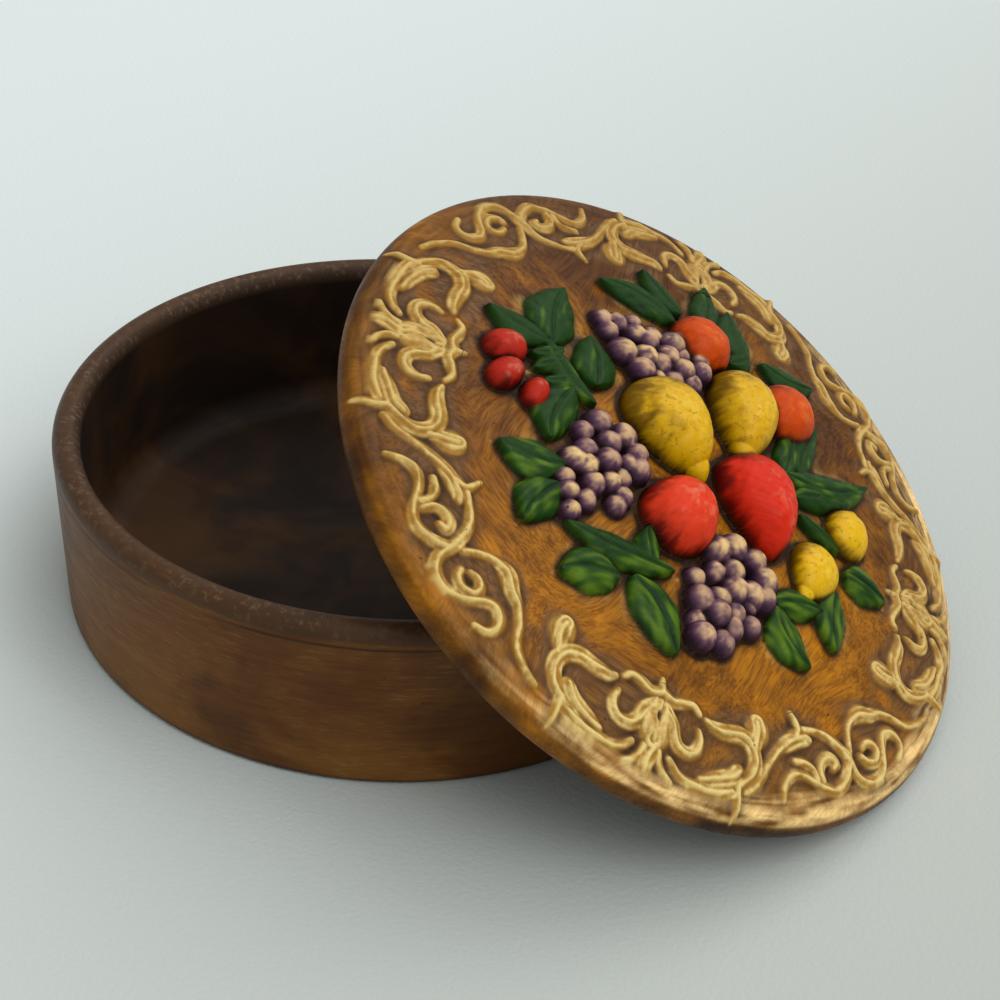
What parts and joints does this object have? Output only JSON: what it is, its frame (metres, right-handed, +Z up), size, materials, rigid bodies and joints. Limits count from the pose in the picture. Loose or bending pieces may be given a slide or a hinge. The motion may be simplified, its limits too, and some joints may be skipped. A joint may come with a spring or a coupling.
{
  "type": "ceramic trinket box",
  "caption": "Round ceramic trinket box with a loose domed lid carrying a painted fruit cluster and a scroll border, the lid set leaning on the open box's lip.",
  "frame": {"origin": "middle of the box's flat foot, on the table", "axes": "+Z up along the box's axis, +X from the middle of the box towards the side where the lid leans, +Y to the left of +X"},
  "size_m": [0.2038, 0.155, 0.0896],
  "materials": {
    "box": "brown antique stain under a satin glaze",
    "lid": "hand painted relief under a satin glaze"
  },
  "bodies": {
    "root": {"box": "box", "lid": "lid"}
  },
  "joints": []
}
